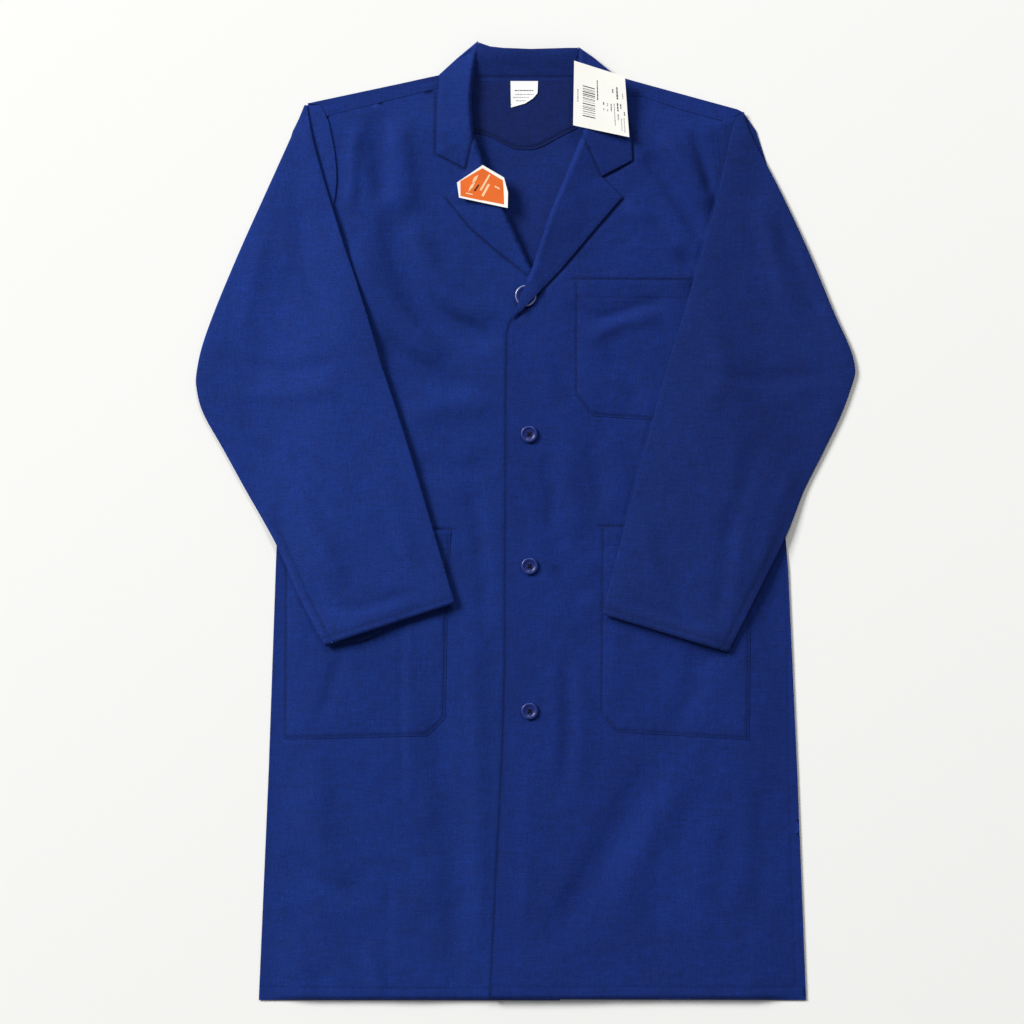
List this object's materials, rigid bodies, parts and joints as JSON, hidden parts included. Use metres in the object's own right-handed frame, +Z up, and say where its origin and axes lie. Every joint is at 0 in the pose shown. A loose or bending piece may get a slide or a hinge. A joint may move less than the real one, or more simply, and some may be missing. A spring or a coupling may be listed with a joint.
{
  "type": "lab coat",
  "caption": "Knee-length work coat lying flat with its front up: notched lapels, patch pockets, buttoned front, long folded-in sleeves, neck label and hang tags.",
  "frame": {"origin": "middle of the coat's outline, on the surface it lies on", "axes": "+Y from hem to collar, +X towards the wearer's left sleeve, +Z up out of the front"},
  "size_m": [0.725, 1.0488, 0.0228],
  "materials": {
    "coat_fabric": "plain cotton-polyester twill, royal navy, matt",
    "coat_inside_fabric": "inside of the same twill, slightly duller",
    "sleeve_fabric": "the same twill on the sleeves",
    "button_plastic": "polished navy polyester button",
    "thread": "navy sewing thread",
    "label_woven": null,
    "tag_white_card": null,
    "tag_orange_card": "orange printed card with a white border",
    "fastener_plastic": "nylon tag fastener"
  },
  "bodies": {
    "torso": {"back_panel": "coat_inside_fabric", "back_neck_facing": "coat_inside_fabric", "right_front": "coat_fabric", "right_front_facing": "coat_inside_fabric", "left_front": "coat_fabric", "left_front_facing": "coat_inside_fabric", "right_side_seam": "coat_fabric", "left_side_seam": "coat_fabric", "right_shoulder_strip": "coat_fabric", "left_shoulder_strip": "coat_fabric", "collar_leaf": "coat_fabric", "collar_stand": "coat_inside_fabric", "right_collar_wing": "coat_fabric", "left_collar_wing": "coat_fabric", "chest_pocket": "coat_fabric", "right_lower_pocket": "coat_fabric", "left_lower_pocket": "coat_fabric", "right_sleeve_cap": "sleeve_fabric", "left_sleeve_cap": "sleeve_fabric"},
    "left_skirt_corner": {"left_front_skirt_corner": "coat_fabric", "left_facing_skirt_corner": "coat_inside_fabric"},
    "right_lapel_turn": {"right_lapel": "coat_fabric"},
    "left_lapel_turn": {"left_lapel": "coat_fabric"},
    "right_upper_arm": {"right_upper_sleeve_under": "sleeve_fabric", "right_upper_sleeve_top": "sleeve_fabric"},
    "right_forearm": {"right_forearm_sleeve_under": "sleeve_fabric", "right_forearm_sleeve_top": "sleeve_fabric"},
    "left_upper_arm": {"left_upper_sleeve_under": "sleeve_fabric", "left_upper_sleeve_top": "sleeve_fabric"},
    "left_forearm": {"left_forearm_sleeve_under": "sleeve_fabric", "left_forearm_sleeve_top": "sleeve_fabric"},
    "label": {"neck_label": "label_woven"},
    "white_tag": {"white_hang_tag": "tag_white_card", "white_tag_fastener": "fastener_plastic"},
    "orange_tag": {"orange_hang_tag": "tag_orange_card", "orange_tag_fastener": "fastener_plastic"},
    "button_unit_1": {"button_1": "button_plastic", "button_thread_1": "thread"},
    "button_unit_2": {"button_2": "button_plastic", "button_thread_2": "thread"},
    "button_unit_3": {"button_3": "button_plastic", "button_thread_3": "thread"},
    "button_unit_4": {"button_4": "button_plastic", "button_thread_4": "thread"}
  },
  "joints": [
    {"name": "right_sleeve_swing", "type": "hinge", "parent": "torso", "child": "right_upper_arm", "pos_m": [-0.23599, 0.45243, 0.02], "axis": [0, 0, -1], "range_deg": [0, 55]},
    {"name": "left_sleeve_swing", "type": "hinge", "parent": "torso", "child": "left_upper_arm", "pos_m": [0.23489, 0.44371, 0.02], "axis": [0, 0, 1], "range_deg": [0, 55]},
    {"name": "right_elbow_fold", "type": "hinge", "parent": "right_upper_arm", "child": "right_forearm", "pos_m": [-0.36189, 0.15366, 0.0232], "axis": [-0.9976, -0.0688, 0], "range_deg": [0, 155]},
    {"name": "left_elbow_fold", "type": "hinge", "parent": "left_upper_arm", "child": "left_forearm", "pos_m": [0.36242, 0.16238, 0.0232], "axis": [-0.9986, 0.0526, 0], "range_deg": [0, 155]},
    {"name": "right_lapel_lift", "type": "hinge", "parent": "torso", "child": "right_lapel_turn", "pos_m": [-0.05723, 0.42191, 0.0112], "axis": [-0.3947, 0.9188, 0], "range_deg": [0, 55]},
    {"name": "left_lapel_lift", "type": "hinge", "parent": "torso", "child": "left_lapel_turn", "pos_m": [0.06158, 0.42191, 0.0146], "axis": [-0.3506, -0.9365, 0], "range_deg": [0, 55]},
    {"name": "skirt_corner_turn", "type": "hinge", "parent": "torso", "child": "left_skirt_corner", "pos_m": [-0.02235, -0.24255, 0.0104], "axis": [-0.7153, 0.6988, 0], "range_deg": [0, 150]},
    {"name": "orange_tag_lift", "type": "hinge", "parent": "right_lapel_turn", "child": "orange_tag", "pos_m": [-0.04666, 0.38757, 0.0129], "axis": [-1, 0, 0], "range_deg": [0, 70]},
    {"name": "white_tag_lift", "type": "hinge", "parent": "torso", "child": "white_tag", "pos_m": [0.05286, 0.50093, 0.016], "axis": [-0.9535, 0.3015, 0], "range_deg": [0, 70]},
    {"name": "neck_label_flip", "type": "hinge", "parent": "torso", "child": "label", "pos_m": [-0.00164, 0.48033, 0.0036], "axis": [-1, 0, 0], "range_deg": [0, 120]},
    {"name": "button_1_twist", "type": "hinge", "parent": "torso", "child": "button_unit_1", "pos_m": [0.00021, 0.24566, 0.0111], "axis": [0, 0, 1], "range_deg": [-60, 60]},
    {"name": "button_2_twist", "type": "hinge", "parent": "torso", "child": "button_unit_2", "pos_m": [0.00381, 0.09491, 0.0111], "axis": [0, 0, 1], "range_deg": [-60, 60]},
    {"name": "button_3_twist", "type": "hinge", "parent": "torso", "child": "button_unit_3", "pos_m": [0.00435, -0.04897, 0.0111], "axis": [0, 0, 1], "range_deg": [-60, 60]},
    {"name": "button_4_twist", "type": "hinge", "parent": "torso", "child": "button_unit_4", "pos_m": [0.00435, -0.20702, 0.0111], "axis": [0, 0, 1], "range_deg": [-60, 60]}
  ]
}
